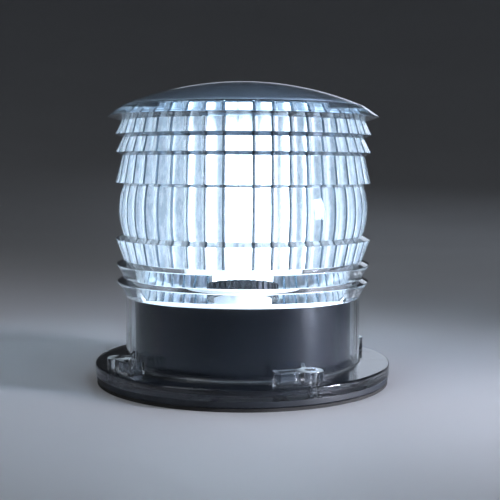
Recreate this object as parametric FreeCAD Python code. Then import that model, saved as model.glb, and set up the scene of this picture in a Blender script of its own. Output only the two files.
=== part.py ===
import FreeCAD, Part

import math
import os

from FreeCAD import Vector

# Solar post-top light: a clear prism lens with a brimmed dome stands on a round flange with four screw lugs.
# Millimetres, +Z up, origin at the centre of the underside of the mounting gasket. The front is -Y.

# Driving dimensions
FLANGE_RADIUS = 75.0
FLANGE_THICKNESS = 5.6
BASE_RADIUS = 74.4
BASE_THICKNESS = 3.2
GASKET_RADIUS = 74.2
GASKET_INNER_RADIUS = 54.0
GASKET_THICKNESS = 1.5
SKIRT_RADIUS = 59.6
BORE_RADIUS = 57.0
DOME_TOP = 151.0
DOME_SPHERE_RADIUS = 155.0
DOME_WALL = 2.2
DOME_SHOULDER = 60.5
BRIM_TIP = (68.4, 133.3)
RUNNING_GAP = 0.3

# Heights that follow
BASE_BOTTOM = GASKET_THICKNESS
BASE_TOP = BASE_BOTTOM + BASE_THICKNESS
FLANGE_TOP = BASE_TOP + FLANGE_THICKNESS

# Lens prisms: radius and height of each ridge and of the valley beside it, from the skirt upwards
RIDGE_ROUND = 0.35
VALLEY_ROUND = 0.25
SKIRT_TOP = 43.6
RIDGE_6, VALLEY_6 = (63.9, 51.2), (60.7, 53.1)
RIDGE_5, VALLEY_5 = (64.2, 59.9), (60.5, 61.8)
RIDGE_4, VALLEY_4 = (64.6, 72.5), (60.6, 74.6)
BELT_MIDDLE = (62.9, 86.9)
VALLEY_3, RIDGE_3 = (60.6, 99.2), (64.4, 100.5)
VALLEY_2, RIDGE_2 = (61.0, 113.9), (64.4, 115.6)
VALLEY_1, RIDGE_1 = (60.8, 122.6), (64.4, 124.4)
LENS_TOP = (61.3, 131.1)
SPIGOT_RADIUS = 59.0
SPIGOT_TOP = 135.6
SPIGOT_GAP = 0.1
LEDGE_RADIUS, LEDGE_TOP = 55.6, 8.1
SKIRT_FILLET = 1.2

# Flutes moulded inside the lens, in two halves. On each side of the mould the seam splits a wider flute.
FLUTE_LINES_PER_HALF = 21
SEAM_ANGLE = 285.5
SEAM_FLUTE_WIDTH = 13.2
FLUTE_GROOVE_RADIUS = 57.2
FLUTE_NOTCH_RADIUS = 57.9
FLUTE_NOTCH_WIDTH = 1.0
FLUTE_CREST_RADIUS = 56.0
SEAM_GROOVE_RADIUS = 56.9
SEAM_CREST_RADIUS = 56.3
FLUTE_BOTTOM = 61.5

# Screw lugs on the flange
LUG_CIRCLE_RADIUS = 67.0
LUG_ANGLES = (45, 135, 225, 315)
LUG_WING_SIDES = (1, -1, 1, -1)
LUG_TOP = 16.4
LUG_RADIUS = 6.1
LUG_WING_WIDTH = 14.8
SCREW_HOLE_RADIUS = 2.75

# Solar panel in its tray, which lies on the spigot of the lens
TRAY_RADIUS = 57.0
TRAY_BOTTOM = SPIGOT_TOP
TRAY_FLOOR = 1.0
TRAY_TOP = TRAY_BOTTOM + 2.4
TRAY_LIP_RADIUS = 55.7
TRAY_LIP_WALL = 1.5
TRAY_WALL_RADIUS = 54.2
PANEL_RADIUS = 52.6
PANEL_THICKNESS = 1.2
PANEL_BOTTOM = TRAY_BOTTOM + TRAY_FLOOR
PANEL_TOP = PANEL_BOTTOM + PANEL_THICKNESS
CELL_COUNT = 8
CELL_FIELD_RADIUS = 50.8
CELL_GAP = 0.9
CELL_THICKNESS = 0.3
RIBBON_WIDTH = 1.4
RIBBON_THICKNESS = 0.15

# Housing of the electronics, and the light source that stands on it
HOUSING_RADIUS = 55.2
HOUSING_WALL = 2.2
HOUSING_TOP = 45.0
HOUSING_CEILING = HOUSING_TOP - 2.0
HOUSING_FLANGE_RADIUS = 56.7
PLATE_RADIUS = 54.9
PLATE_THICKNESS = 1.2
PEDESTAL_BOTTOM = HOUSING_TOP + PLATE_THICKNESS
PEDESTAL_RADIUS = 15.0
PEDESTAL_BORE_RADIUS = 7.0
PEDESTAL_FOOT_RADIUS = 17.0
HUB_RADIUS = 18.6
HUB_BOTTOM = 60.6
HUB_TOP = 66.0
HUB_FINS = 36
COLUMN_APOTHEM = 9.0
COLUMN_BORE_RADIUS = 6.8
COLUMN_TOP = 110.4
RING_BOARD_THICKNESS = 1.2
LED_BOARD_WIDTH = 9.4
LED_BOARD_THICKNESS = 1.2
LED_ROWS = 4
LED_PITCH = 11.0
LED_SIZE = 5.0
LED_BODY = 1.2
SLEEVE_RADIUS = 15.6
SLEEVE_WALL = 1.2
SLEEVE_TOP = 112.0
CAP_THICKNESS = 2.4
CONDUIT_RADIUS = 3.2
CONDUIT_BORE_RADIUS = 2.3

# Batteries
AA_RADIUS = 7.25
AA_LENGTH = 50.5
AA_NUB = 1.4
AA_COUNT = 3
AA_PITCH = 16.5
AA_AXIS_HEIGHT = 15.6
POCKET_RADIUS = 7.55
POCKET_HALF_LENGTH = 28.5
CONTACT_THICKNESS = 0.4
CONTACT_WIDTH = 10.0
CONTACT_REACH = 5.5
HOLDER_HALF_X = 30.5
HOLDER_HALF_Y = 26.0
HOLDER_TOP = 25.2
EAR_SCREW_X = 44.0
SPRING_HALF_HEIGHT = 4.5
SPRING_HALF_WIDTH = 3.0

# Control board
BOARD_BOTTOM = 28.0
BOARD_TOP = BOARD_BOTTOM + 1.6
BOARD_RADIUS = 40.0
POST_CIRCLE = 34.0
POST_ANGLES = (60, 180, 300)
CONNECTOR_TOP = 35.6
LED_LEAD_X = 11.5
PANEL_LEAD_X = 1.1
WIRE_RADIUS = 0.5

# Screws
BASE_SCREW_CIRCLE = 49.6
HUB_SCREW_CIRCLE = 13.0
HUB_SCREW_ANGLES = (30, 150, 270)

# Push button and its switch, under the base
BUTTON_Y = -45.8
BUTTON_RADIUS = 3.0
BUTTON_BOTTOM = 0.5
BUTTON_SHOULDER_RADIUS = 4.4
BUTTON_SEAL_THICKNESS = 0.5
STEM_RADIUS = 1.2
SWITCH_BOTTOM = 8.2
SWITCH_TOP = 14.6
SWITCH_SIZE = 7.0

# Battery hatch: a disc with three tabs that turns under a ledge in the base plate
HATCH_OPENING_RADIUS = 35.6
HATCH_RECESS_RADIUS = 38.1
HATCH_RECESS_TOP = 3.3
HATCH_FLOOR_TOP = 4.0
HATCH_LEDGE_TOP = 5.4
RACE_RADIUS = 37.9
COLLAR_RADIUS = 40.0
COLLAR_TOP = 7.4
HATCH_TURN = 40.0
HATCH_TAB_ANGLES = (30, 150, 270)
HATCH_TAB_WIDTH = 20.0
HATCH_RING_RADIUS = 0.65


def polar(radius, degrees, z=0.0):
    """The point at that radius and angle about the Z axis."""
    a = math.radians(degrees)
    return Vector(radius * math.cos(a), radius * math.sin(a), z)


def around(shape, degrees):
    """A copy of the shape turned about the Z axis."""
    turned_copy = shape.copy()
    turned_copy.rotate(Vector(0, 0, 0), Vector(0, 0, 1), degrees)
    return turned_copy


def rod(radius, bottom, top, x=0.0, y=0.0):
    """An upright cylinder."""
    return Part.makeCylinder(radius, top - bottom, Vector(x, y, bottom))


def rod_at(radius, bottom, top, circle, degrees):
    """An upright cylinder on a circle about the Z axis."""
    p = polar(circle, degrees)
    return rod(radius, bottom, top, p.x, p.y)


def ring(outer, inner, bottom, top):
    """An upright tube about the Z axis."""
    return rod(outer, bottom, top).cut(rod(inner, bottom - 1, top + 1))


def block(x_size, y_size, z_size, x, y, bottom):
    """A box centred on x and y."""
    return Part.makeBox(x_size, y_size, z_size, Vector(x - x_size / 2, y - y_size / 2, bottom))


def rounded_corner(before, corner, after, radius):
    """The start, middle and end of the arc that rounds a corner."""
    to_before = (before - corner).normalize()
    to_after = (after - corner).normalize()
    half = to_before.getAngle(to_after) / 2
    reach = radius / math.tan(half)
    centre = corner + (to_before + to_after).normalize() * (radius / math.sin(half))
    middle = centre + (corner - centre).normalize() * radius
    return corner + to_before * reach, middle, corner + to_after * reach


def turned(corners, degrees=360.0):
    """Turns a closed outline about the Z axis. Each corner is (r, z), (r, z, rounding), or
    (r, z, rounding, (r, z) on the arc that leads to it)."""
    points = [Vector(c[0], 0, c[1]) for c in corners]
    ends = []
    for i, corner in enumerate(corners):
        rounding = corner[2] if len(corner) > 2 else 0
        if rounding:
            following = points[(i + 1) % len(points)]
            ends.append(rounded_corner(points[i - 1], points[i], following, rounding))
        else:
            ends.append((points[i], None, points[i]))
    edges = []
    for i, corner in enumerate(corners):
        start, stop = ends[i - 1][2], ends[i][0]
        if len(corner) > 3:
            edges.append(Part.Arc(start, Vector(corner[3][0], 0, corner[3][1]), stop).toShape())
        else:
            edges.append(Part.LineSegment(start, stop).toShape())
        if ends[i][1]:
            edges.append(Part.Arc(*ends[i]).toShape())
    face = Part.Face(Part.Wire(edges))
    return face.revolve(Vector(0, 0, 0), Vector(0, 0, 1), degrees)


def sector(inner, outer, bottom, top, start, width):
    """A slice of a ring, width degrees wide from the start angle."""
    return around(turned([(inner, bottom), (outer, bottom), (outer, top), (inner, top)], width), start)


def o_ring(circle, radius, z):
    """A rubber ring with a round section."""
    return Part.makeTorus(circle, radius, Vector(0, 0, z))


def tube_path(route):
    """Straight runs joined by tangent arcs, each as large as its two runs allow."""
    points = [Vector(*p) for p in route]
    edges, last = [], points[0]
    for before, corner, after in zip(points, points[1:], points[2:]):
        shorter = min((corner - before).Length, (after - corner).Length)
        turn = (corner - before).getAngle(after - corner)
        radius = 0.45 * shorter / math.tan(turn / 2)
        start, middle, stop = rounded_corner(before, corner, after, radius)
        edges.append(Part.LineSegment(last, start).toShape())
        edges.append(Part.Arc(start, middle, stop).toShape())
        last = stop
    edges.append(Part.LineSegment(last, points[-1]).toShape())
    return Part.Wire(edges)


def lead(route, radius=WIRE_RADIUS):
    """An insulated wire along a route."""
    path = tube_path(route)
    start, run = Vector(*route[0]), Vector(*route[1]) - Vector(*route[0])
    section = Part.Wire(Part.makeCircle(radius, start, run))
    return path.makePipeShell([section], True, True)


def pan_screw(head, head_height, shank, length):
    """A pan-head screw that points down, with its head's seat at z 0 and a cross recess."""
    body = turned([(0, 0), (0, -length), (shank - 0.3, -length), (shank, -length + 0.6), (shank, 0),
                   (head, 0), (head, head_height, 0.5), (0, head_height)])
    slot = block(head * 1.2, 0.6, head_height, 0, 0, head_height * 0.45)
    return body.cut(slot.fuse(around(slot, 90)))


def place(shape, point, upside_down=False):
    """A copy of the shape moved to a point, turned over first if asked."""
    moved = shape.copy()
    if upside_down:
        moved.rotate(Vector(0, 0, 0), Vector(1, 0, 0), 180)
    moved.translate(point)
    return moved


def save(name, shape):
    """Writes one sub-part, or several separate solids of it, to its STEP file."""
    whole = Part.makeCompound(shape) if isinstance(shape, list) else shape
    print(f"{name:22s} solids {len(whole.Solids):3d}  volume {whole.Volume:10.1f}  valid {whole.isValid()}")
    whole.exportStep(f"parts/{name}.step")


def flute_lines():
    """The angle of each line between two flutes, all round from one seam. The two seams are among them."""
    pitch = (180.0 - SEAM_FLUTE_WIDTH) / (FLUTE_LINES_PER_HALF - 1)
    angles = []
    for seam in (SEAM_ANGLE, SEAM_ANGLE + 180):
        angles.append(seam)
        angles += [seam + SEAM_FLUTE_WIDTH / 2 + pitch * i for i in range(FLUTE_LINES_PER_HALF)]
    return angles


def make_flute_core():
    """The solid that the fluted inside of the lens closes around. A notch parts each flute from the next."""
    lines = flute_lines()
    half_notch = math.degrees(FLUTE_NOTCH_WIDTH / 2 / FLUTE_GROOVE_RADIUS)
    edges = []
    for i, start in enumerate(lines):
        stop = lines[i + 1] if i + 1 < len(lines) else lines[0] + 360
        at_seam, to_seam = i % (len(lines) // 2) == 0, (i + 1) % (len(lines) // 2) == 0
        crest = polar(SEAM_CREST_RADIUS if at_seam or to_seam else FLUTE_CREST_RADIUS, (start + stop) / 2)
        if at_seam:
            first = polar(SEAM_GROOVE_RADIUS, start)
        else:
            first = polar(FLUTE_GROOVE_RADIUS, start + half_notch)
            edges.append(Part.LineSegment(polar(FLUTE_NOTCH_RADIUS, start), first).toShape())
        if to_seam:
            last = polar(SEAM_GROOVE_RADIUS, stop)
        else:
            last = polar(FLUTE_GROOVE_RADIUS, stop - half_notch)
        edges.append(Part.Arc(first, crest, last).toShape())
        if not to_seam:
            edges.append(Part.LineSegment(last, polar(FLUTE_NOTCH_RADIUS, stop)).toShape())
    core = Part.Face(Part.Wire(edges)).extrude(Vector(0, 0, SPIGOT_TOP - FLUTE_BOTTOM))
    return place(core, Vector(0, 0, FLUTE_BOTTOM))


def make_lug(wing_side):
    """One screw boss with its hollow wing and its web, on the X axis."""
    root = FLANGE_TOP - 1.5
    boss = turned([(0, root), (LUG_RADIUS, root), (LUG_RADIUS, LUG_TOP, 0.6), (0, LUG_TOP)])
    boss.translate(Vector(LUG_CIRCLE_RADIUS, 0, 0))
    inner, outer, wall = 62.4, 71.2, 1.6
    wing_section = [(inner, root), (outer, root), (outer, LUG_TOP, 0.5), (inner, LUG_TOP, 0.5)]
    wing = turned(wing_section, LUG_WING_WIDTH)
    pocket = sector(inner + wall, outer - wall, FLANGE_TOP + 1, LUG_TOP + 1, 6.0, LUG_WING_WIDTH - 7.4)
    wing = wing.cut(pocket)
    if wing_side < 0:
        wing = wing.mirror(Vector(0, 0, 0), Vector(0, 1, 0))
    inside, half_width = SKIRT_RADIUS - 1, 0.8
    side = Part.makePolygon([Vector(inside, -half_width, root), Vector(inside, -half_width, LUG_TOP + 3.3),
                             Vector(inner, -half_width, LUG_TOP - 0.4), Vector(inner, -half_width, root),
                             Vector(inside, -half_width, root)])
    web = Part.Face(side).extrude(Vector(0, 2 * half_width, 0))
    return boss.fuse([wing, web])


def screw_holes(bottom, top):
    """The four holes for the mounting screws."""
    return [rod_at(SCREW_HOLE_RADIUS, bottom, top, LUG_CIRCLE_RADIUS, a) for a in LUG_ANGLES]


def make_lens_body():
    """Skirt, flange, prism lens and the spigot that the dome fits over, moulded in one piece."""
    outline = [(LEDGE_RADIUS, BASE_TOP), (FLANGE_RADIUS, BASE_TOP, 0.3), (FLANGE_RADIUS, FLANGE_TOP, 0.9),
               (SKIRT_RADIUS, FLANGE_TOP, SKIRT_FILLET), (SKIRT_RADIUS, SKIRT_TOP, 0.8)]
    for ridge, valley in ((RIDGE_6, VALLEY_6), (RIDGE_5, VALLEY_5)):
        outline += [(*ridge, RIDGE_ROUND), (*valley, VALLEY_ROUND)]
    outline += [(*RIDGE_4, RIDGE_ROUND), VALLEY_4, (*VALLEY_3, 0, BELT_MIDDLE), (*RIDGE_3, RIDGE_ROUND)]
    for valley, ridge in ((VALLEY_2, RIDGE_2), (VALLEY_1, RIDGE_1)):
        outline += [(*valley, VALLEY_ROUND), (*ridge, RIDGE_ROUND)]
    core_radius = FLUTE_CREST_RADIUS - 5
    outline += [LENS_TOP, (SPIGOT_RADIUS, LENS_TOP[1]), (SPIGOT_RADIUS, SPIGOT_TOP, 0.3),
                (core_radius, SPIGOT_TOP), (core_radius, FLUTE_BOTTOM),
                (BORE_RADIUS, FLUTE_BOTTOM), (BORE_RADIUS, LEDGE_TOP), (LEDGE_RADIUS, LEDGE_TOP)]
    body = turned(outline).cut(make_flute_core())
    lugs = [around(make_lug(side), a) for a, side in zip(LUG_ANGLES, LUG_WING_SIDES)]
    return body.fuse(lugs).removeSplitter().cut(screw_holes(0, LUG_TOP + 1))


def dome_height(radius, inset=0.0):
    """The height of the dome at a radius, on its outer surface or a distance inside it."""
    return DOME_TOP - DOME_SPHERE_RADIUS + math.sqrt((DOME_SPHERE_RADIUS - inset) ** 2 - radius ** 2)


def make_dome_cover():
    """The clear top: a shallow dome over the tray, with a brim that throws rain clear of the lens."""
    foot, cavity = LENS_TOP[1], SPIGOT_RADIUS + SPIGOT_GAP
    half_out, half_in = DOME_SHOULDER / 2, cavity / 2
    outside = turned([(0, foot), LENS_TOP, (*BRIM_TIP, 0.3), (DOME_SHOULDER, dome_height(DOME_SHOULDER)),
                      (0, DOME_TOP, 0, (half_out, dome_height(half_out)))])
    inside = turned([(0, foot - 1), (cavity, foot - 1), (cavity, dome_height(cavity, DOME_WALL)),
                     (0, DOME_TOP - DOME_WALL, 0, (half_in, dome_height(half_in, DOME_WALL)))])
    return outside.cut(inside)


def make_mounting_gasket():
    """The flat rubber ring between the light and what it is screwed to."""
    flat_ring = ring(GASKET_RADIUS, GASKET_INNER_RADIUS, 0, GASKET_THICKNESS)
    return flat_ring.cut(screw_holes(-1, BASE_BOTTOM + 1))


def make_base_plate():
    """The dark disc under the flange, with the ledge and collar of the hatch."""
    disc = turned([(0, BASE_BOTTOM), (BASE_RADIUS, BASE_BOTTOM, 0.8), (BASE_RADIUS, BASE_TOP), (0, BASE_TOP)])
    collar = rod(COLLAR_RADIUS, BASE_TOP - 1, COLLAR_TOP)
    holder_bosses = [rod(3.2, BASE_TOP - 1, COLLAR_TOP, x) for x in (-EAR_SCREW_X, EAR_SCREW_X)]
    plate = disc.fuse([collar] + holder_bosses)
    cuts = [rod(HATCH_RECESS_RADIUS, 0, HATCH_RECESS_TOP), rod(HATCH_OPENING_RADIUS, 0, COLLAR_TOP + 1),
            rod(RACE_RADIUS, HATCH_LEDGE_TOP, COLLAR_TOP + 1)]
    for a in HATCH_TAB_ANGLES:
        width = HATCH_TAB_WIDTH + 2
        cuts.append(sector(HATCH_OPENING_RADIUS - 1, RACE_RADIUS, BASE_BOTTOM, HATCH_LEDGE_TOP + 1,
                           a + HATCH_TURN - width / 2, width))
    for a in LUG_ANGLES:
        cuts.append(rod_at(3.3, 0, BASE_BOTTOM + 1.8, BASE_SCREW_CIRCLE, a))
        cuts.append(rod_at(1.6, 0, BASE_TOP + 1, BASE_SCREW_CIRCLE, a))
    cuts += [rod(1.1, BASE_TOP, COLLAR_TOP + 1, x) for x in (-EAR_SCREW_X, EAR_SCREW_X)]
    cuts.append(rod(BUTTON_RADIUS + RUNNING_GAP, 0, BASE_TOP + 1, 0, BUTTON_Y))
    cuts.append(ring(61.0, 59.0, BASE_TOP - 1.2, BASE_TOP + 1))
    return plate.cut(cuts + screw_holes(0, BASE_TOP + 1))


def make_base_seal():
    """The rubber ring in the base plate's groove, pressed flat by the lens flange."""
    return turned([(59.0, BASE_TOP - 1.2, 0.4), (61.0, BASE_TOP - 1.2, 0.4), (61.0, BASE_TOP, 0.4),
                   (59.0, BASE_TOP, 0.4)])


def make_inner_housing():
    """The black cup over the electronics. Its flange holds the lens down on the base."""
    inner = HOUSING_RADIUS - HOUSING_WALL
    flange_top = LEDGE_TOP + 2.2
    shell = turned([(inner, BASE_TOP), (HOUSING_RADIUS, BASE_TOP), (HOUSING_RADIUS, LEDGE_TOP),
                    (HOUSING_FLANGE_RADIUS, LEDGE_TOP), (HOUSING_FLANGE_RADIUS, flange_top, 0.4),
                    (HOUSING_RADIUS, flange_top, 1.0), (HOUSING_RADIUS, HOUSING_TOP, 0.6),
                    (0, HOUSING_TOP), (0, HOUSING_CEILING), (inner, HOUSING_CEILING, 1.5)])
    bosses = [rod_at(3.6, BASE_TOP, 20, BASE_SCREW_CIRCLE, a) for a in LUG_ANGLES]
    posts = [rod_at(3.0, BOARD_TOP, HOUSING_CEILING + 1, POST_CIRCLE, a) for a in POST_ANGLES]
    cuts = [rod_at(1.5, BASE_TOP - 1, 16, BASE_SCREW_CIRCLE, a) for a in LUG_ANGLES]
    cuts += [rod_at(1.1, BOARD_TOP - 1, 38, POST_CIRCLE, a) for a in POST_ANGLES]
    cuts += hub_screw_holes(1.3, HOUSING_CEILING - 1, HOUSING_TOP + 1)
    cuts += lead_holes(HOUSING_CEILING - 1, HOUSING_TOP + 1)
    return shell.fuse(bosses + posts).cut(cuts)


def hub_screw_holes(radius, bottom, top):
    """The holes for the screws that hold the hub."""
    return [rod_at(radius, bottom, top, HUB_SCREW_CIRCLE, a) for a in HUB_SCREW_ANGLES]


def lead_holes(bottom, top):
    """The holes that the panel's and the light source's leads pass through."""
    led_holes = [rod(WIRE_RADIUS + 0.3, bottom, top, x) for x in (-LED_LEAD_X, LED_LEAD_X)]
    return led_holes + [rod(CONDUIT_BORE_RADIUS, bottom, top)]


def make_reflector_plate():
    """The white disc on the housing, with a small rim."""
    rim = PLATE_RADIUS - 1.0
    floor, rim_top = PEDESTAL_BOTTOM, PEDESTAL_BOTTOM + 1.2
    plate = turned([(0, HOUSING_TOP), (PLATE_RADIUS, HOUSING_TOP), (PLATE_RADIUS, rim_top, 0.3),
                    (rim, rim_top, 0.3), (rim, floor, 0.4), (0, floor)])
    bottom, top = HOUSING_TOP - 1, floor + 1
    return plate.cut(hub_screw_holes(1.3, bottom, top) + lead_holes(bottom, top))


def hexagon(apothem, bottom, top):
    """An upright six-sided bar with a flat towards +X."""
    corners = [polar(apothem / math.cos(math.radians(30)), 30 + 60 * i, bottom) for i in range(7)]
    return Part.Face(Part.makePolygon(corners)).extrude(Vector(0, 0, top - bottom))


def make_pedestal():
    """The white hollow foot that lifts the light source to the height of the lens."""
    bottom, foot_top = PEDESTAL_BOTTOM, PEDESTAL_BOTTOM + 1.6
    body = turned([(PEDESTAL_BORE_RADIUS, bottom), (PEDESTAL_FOOT_RADIUS, bottom),
                   (PEDESTAL_FOOT_RADIUS, foot_top, 0.5), (PEDESTAL_RADIUS, foot_top, 1.2),
                   (PEDESTAL_RADIUS, HUB_BOTTOM), (PEDESTAL_BORE_RADIUS, HUB_BOTTOM)])
    leads = [rod(WIRE_RADIUS + 0.3, bottom - 1, HUB_BOTTOM + 1, x) for x in (-LED_LEAD_X, LED_LEAD_X)]
    return body.cut(hub_screw_holes(1.1, bottom - 1, bottom + 5) + leads)


def make_led_column():
    """The finned hub and the hollow six-sided column, cast in one piece."""
    hub = turned([(0, HUB_BOTTOM), (HUB_RADIUS, HUB_BOTTOM, 0.5), (HUB_RADIUS, HUB_TOP, 0.5), (0, HUB_TOP)])
    spigot = rod(PEDESTAL_BORE_RADIUS, HUB_BOTTOM - 6, HUB_BOTTOM + 1)
    groove = block(2.6, 1.2, HUB_TOP - HUB_BOTTOM + 2, HUB_RADIUS, 0, HUB_BOTTOM - 1)
    cuts = [around(groove, 360 / HUB_FINS * i) for i in range(HUB_FINS)]
    cuts.append(rod(COLUMN_BORE_RADIUS, HUB_BOTTOM + 2, COLUMN_TOP + 1))
    cuts += lead_holes(HUB_BOTTOM - 7, HUB_TOP + 1)
    column = hexagon(COLUMN_APOTHEM, HUB_TOP - 1, COLUMN_TOP)
    return hub.fuse([spigot, column]).cut(cuts)


def make_ring_board():
    """The small board around the foot of the column that feeds the six LED boards."""
    board_top = HUB_TOP + RING_BOARD_THICKNESS
    return rod(13.6, HUB_TOP, board_top).cut(hexagon(COLUMN_APOTHEM, HUB_TOP - 1, board_top + 1))


def make_led_boards():
    """Six narrow boards, one on each side of the column."""
    bottom = HUB_TOP + RING_BOARD_THICKNESS
    board = block(LED_BOARD_THICKNESS, LED_BOARD_WIDTH, COLUMN_TOP - bottom,
                  COLUMN_APOTHEM + LED_BOARD_THICKNESS / 2, 0, bottom)
    return [around(board, 60 * i) for i in range(6)]


def make_led_chips():
    """Rows of square LEDs, centred on the lens belt. Each has a shallow round window."""
    face = COLUMN_APOTHEM + LED_BOARD_THICKNESS
    chips = []
    for row in range(LED_ROWS):
        height = BELT_MIDDLE[1] + LED_PITCH * (row - (LED_ROWS - 1) / 2)
        chip = block(LED_BODY, LED_SIZE, LED_SIZE, face + LED_BODY / 2, 0, height - LED_SIZE / 2)
        window = Part.makeCylinder(1.9, 1.0, Vector(face + LED_BODY - 0.35, 0, height), Vector(1, 0, 0))
        chips += [around(chip.cut(window), 60 * i) for i in range(6)]
    return chips


def make_diffuser_sleeve():
    """The frosted tube around the LEDs."""
    return ring(SLEEVE_RADIUS, SLEEVE_RADIUS - SLEEVE_WALL, HUB_TOP, SLEEVE_TOP)


def make_diffuser_cap():
    """The lid of the sleeve, with a spigot that centres it and a bore for the conduit."""
    spigot = SLEEVE_RADIUS - SLEEVE_WALL
    top = SLEEVE_TOP + CAP_THICKNESS
    return turned([(CONDUIT_RADIUS, COLUMN_TOP), (spigot, COLUMN_TOP), (spigot, SLEEVE_TOP),
                   (SLEEVE_RADIUS + 0.6, SLEEVE_TOP), (SLEEVE_RADIUS + 0.6, top, 0.8), (CONDUIT_RADIUS, top)])


def make_conduit():
    """The white tube that carries the panel's leads down into the column."""
    return ring(CONDUIT_RADIUS, CONDUIT_BORE_RADIUS, COLUMN_TOP, TRAY_BOTTOM)


def make_panel_tray():
    """The white dish that holds the panel. A lip under it centres it in the lens."""
    wall_outer, wall_inner = TRAY_WALL_RADIUS, PANEL_RADIUS + 0.2
    lip_inner, lip_bottom = TRAY_LIP_RADIUS - TRAY_LIP_WALL, TRAY_BOTTOM - 1.4
    tray = turned([(0, TRAY_BOTTOM), (lip_inner, TRAY_BOTTOM), (lip_inner, lip_bottom),
                   (TRAY_LIP_RADIUS, lip_bottom), (TRAY_LIP_RADIUS, TRAY_BOTTOM), (TRAY_RADIUS, TRAY_BOTTOM),
                   (TRAY_RADIUS, PANEL_BOTTOM, 0.3), (wall_outer, PANEL_BOTTOM), (wall_outer, TRAY_TOP, 0.4),
                   (wall_inner, TRAY_TOP, 0.4), (wall_inner, PANEL_BOTTOM), (0, PANEL_BOTTOM)])
    return tray.cut(rod(CONDUIT_BORE_RADIUS, TRAY_BOTTOM - 1, PANEL_BOTTOM + 1))


def make_solar_panel():
    """The round backing of the solar cells."""
    return turned([(0, PANEL_BOTTOM), (PANEL_RADIUS, PANEL_BOTTOM), (PANEL_RADIUS, PANEL_TOP, 0.3),
                   (0, PANEL_TOP)])


def cell_strips():
    """The middle and width of each strip of cell across the panel."""
    pitch = 2 * CELL_FIELD_RADIUS / CELL_COUNT
    return [(-CELL_FIELD_RADIUS + pitch * (i + 0.5), pitch - CELL_GAP) for i in range(CELL_COUNT)]


def make_solar_cells():
    """Parallel strips of silicon, cut to fit the disc."""
    field = rod(CELL_FIELD_RADIUS, PANEL_TOP, PANEL_TOP + CELL_THICKNESS)
    length, bottom = 2 * CELL_FIELD_RADIUS, PANEL_TOP - 1
    return [field.common(block(width, length, 2, middle, 0, bottom)) for middle, width in cell_strips()]


def make_cell_ribbons():
    """A flat ribbon along each strip of cell."""
    bottom = PANEL_TOP + CELL_THICKNESS
    ribbons = []
    for middle, _ in cell_strips():
        reach = math.sqrt(CELL_FIELD_RADIUS ** 2 - (abs(middle) + RIBBON_WIDTH) ** 2) - 2.0
        ribbons.append(block(RIBBON_WIDTH, 2 * reach, RIBBON_THICKNESS, middle, 0, bottom))
    return ribbons


def battery_rows():
    """The y of each battery, and the end its spring is at: neighbours lie head to tail."""
    return [(AA_PITCH * (i - (AA_COUNT - 1) / 2), 1 if i % 2 else -1) for i in range(AA_COUNT)]


def along_x(shape, y, spring_end):
    """Lays a shape made along +Z on the battery's axis, starting from its spring's contact."""
    laid = shape.copy()
    laid.rotate(Vector(0, 0, 0), Vector(0, 1, 0), -90 * spring_end)
    laid.translate(Vector(spring_end * (POCKET_HALF_LENGTH - CONTACT_THICKNESS), y, AA_AXIS_HEIGHT))
    return laid


def spring_length():
    """The gap that each folded leaf fills between its contact and its cell."""
    return 2 * (POCKET_HALF_LENGTH - CONTACT_THICKNESS) - AA_LENGTH


def make_battery_cells():
    """Round cells with a raised positive end."""
    start, stop = spring_length(), spring_length() + AA_LENGTH
    cell = turned([(0, start), (AA_RADIUS, start, 0.5), (AA_RADIUS, stop - AA_NUB, 0.5), (2.7, stop - AA_NUB),
                   (2.7, stop, 0.3), (0, stop)])
    return [along_x(cell, y, end) for y, end in battery_rows()]


def make_battery_springs():
    """The folded leaf that presses on each cell's flat end."""
    length, wall, tip = spring_length(), 0.45, 0.8
    outline = [(-SPRING_HALF_HEIGHT, 0), (-tip, length), (tip, length), (SPRING_HALF_HEIGHT, 0),
               (SPRING_HALF_HEIGHT - wall, 0), (0, length - wall), (wall - SPRING_HALF_HEIGHT, 0)]
    corners = [Vector(u, -SPRING_HALF_WIDTH, w) for u, w in outline + outline[:1]]
    leaf = Part.Face(Part.makePolygon(corners)).extrude(Vector(0, 2 * SPRING_HALF_WIDTH, 0))
    return [along_x(leaf, y, end) for y, end in battery_rows()]


def make_battery_contacts():
    """The plated strips at the two ends of the holder."""
    bottom, top = AA_AXIS_HEIGHT - CONTACT_REACH, AA_AXIS_HEIGHT + CONTACT_REACH
    middle = POCKET_HALF_LENGTH - CONTACT_THICKNESS / 2
    plates = []
    for side in (-1, 1):
        for y, _ in battery_rows():
            plates.append(block(CONTACT_THICKNESS, CONTACT_WIDTH, top - bottom, side * middle, y, bottom))
    return plates


def make_battery_holder():
    """The holder over the hatch, open below, with an ear at each end."""
    body = block(2 * HOLDER_HALF_X, 2 * HOLDER_HALF_Y, HOLDER_TOP - COLLAR_TOP, 0, 0, COLLAR_TOP)
    ears = block(2 * (EAR_SCREW_X + 4), 7.0, 2.0, 0, 0, COLLAR_TOP)
    pocket_length = 2 * POCKET_HALF_LENGTH
    mouth_bottom = COLLAR_TOP - 1
    mouth_height = AA_AXIS_HEIGHT - mouth_bottom
    cuts = []
    for y, _ in battery_rows():
        start = Vector(-POCKET_HALF_LENGTH, y, AA_AXIS_HEIGHT)
        cuts.append(Part.makeCylinder(POCKET_RADIUS, pocket_length, start, Vector(1, 0, 0)))
        cuts.append(block(pocket_length, 2 * POCKET_RADIUS, mouth_height, 0, y, mouth_bottom))
    for x, y in battery_lead_places():
        cuts.append(rod(WIRE_RADIUS + 0.2, AA_AXIS_HEIGHT, HOLDER_TOP + 1, x, y))
    cuts += [rod(1.3, COLLAR_TOP - 1, COLLAR_TOP + 3, x) for x in (-EAR_SCREW_X, EAR_SCREW_X)]
    return body.fuse(ears).cut(cuts)


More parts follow.
